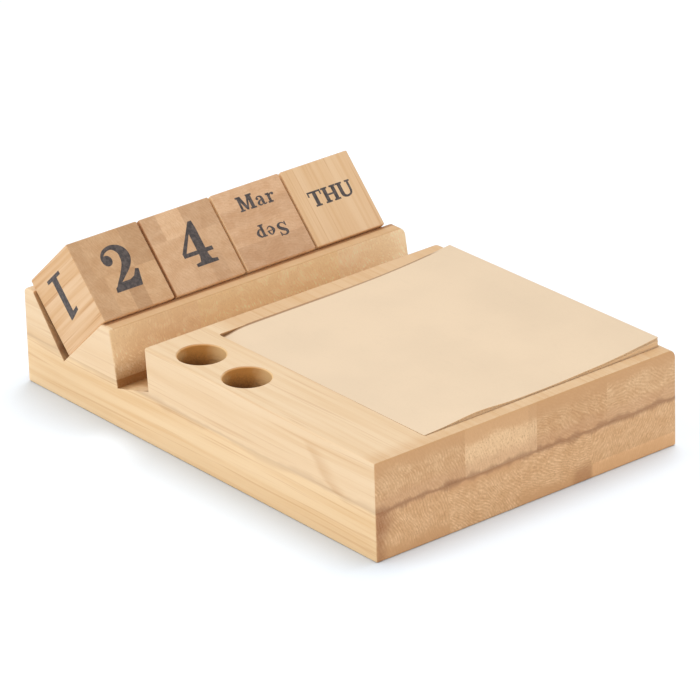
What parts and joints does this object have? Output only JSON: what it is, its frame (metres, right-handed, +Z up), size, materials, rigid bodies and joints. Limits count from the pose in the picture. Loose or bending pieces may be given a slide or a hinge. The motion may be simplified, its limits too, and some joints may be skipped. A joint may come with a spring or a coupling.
{
  "type": "desk calendar",
  "caption": "Bamboo desk block with loose calendar cubes in a V groove, a slanted phone slot, pen holes and a tray with a memo pad.",
  "frame": {"origin": "middle of the underside, on the surface that the block stands on", "axes": "+X along the row of cubes to the right, +Y from the front to the back, +Z up"},
  "size_m": [0.11, 0.16, 0.0496],
  "materials": {
    "bamboo_block": "satin",
    "bamboo_cube": "satin",
    "kraft_paper": "matte",
    "backing_card": "matte",
    "pad_glue": "matte"
  },
  "bodies": {
    "block": {"lower_strip_1": "bamboo_block", "lower_strip_2": "bamboo_block", "lower_strip_3": "bamboo_block", "lower_strip_4": "bamboo_block", "deck_strip_1": "bamboo_block", "deck_strip_2": "bamboo_block", "deck_strip_3": "bamboo_block", "deck_strip_4": "bamboo_block", "ridge_strip_1": "bamboo_block", "ridge_strip_2": "bamboo_block", "ridge_strip_3": "bamboo_block", "ridge_strip_4": "bamboo_block", "rail_strip_1": "bamboo_block", "rail_strip_2": "bamboo_block", "rail_strip_3": "bamboo_block", "rail_strip_4": "bamboo_block"},
    "day_tens": {"day_cube_tens": "bamboo_cube"},
    "day_units": {"day_cube_units": "bamboo_cube"},
    "month": {"month_cube": "bamboo_cube"},
    "weekday": {"weekday_cube": "bamboo_cube"},
    "memo_pad": {"pad_backing_card": "backing_card", "pad_sheet_block": "kraft_paper", "pad_top_sheets": "kraft_paper", "pad_glue_edge": "pad_glue"}
  },
  "joints": [
    {"name": "day_tens_lift", "type": "slide", "parent": "block", "child": "day_tens", "axis": [0, 0, 1], "range_m": [0, 0.025]},
    {"name": "day_units_lift", "type": "slide", "parent": "block", "child": "day_units", "axis": [0, 0, 1], "range_m": [0, 0.025]},
    {"name": "month_lift", "type": "slide", "parent": "block", "child": "month", "axis": [0, 0, 1], "range_m": [0, 0.025]},
    {"name": "weekday_lift", "type": "slide", "parent": "block", "child": "weekday", "axis": [0, 0, 1], "range_m": [0, 0.025]},
    {"name": "memo_pad_lift", "type": "slide", "parent": "block", "child": "memo_pad", "axis": [0, 0, 1], "range_m": [0, 0.025]}
  ]
}
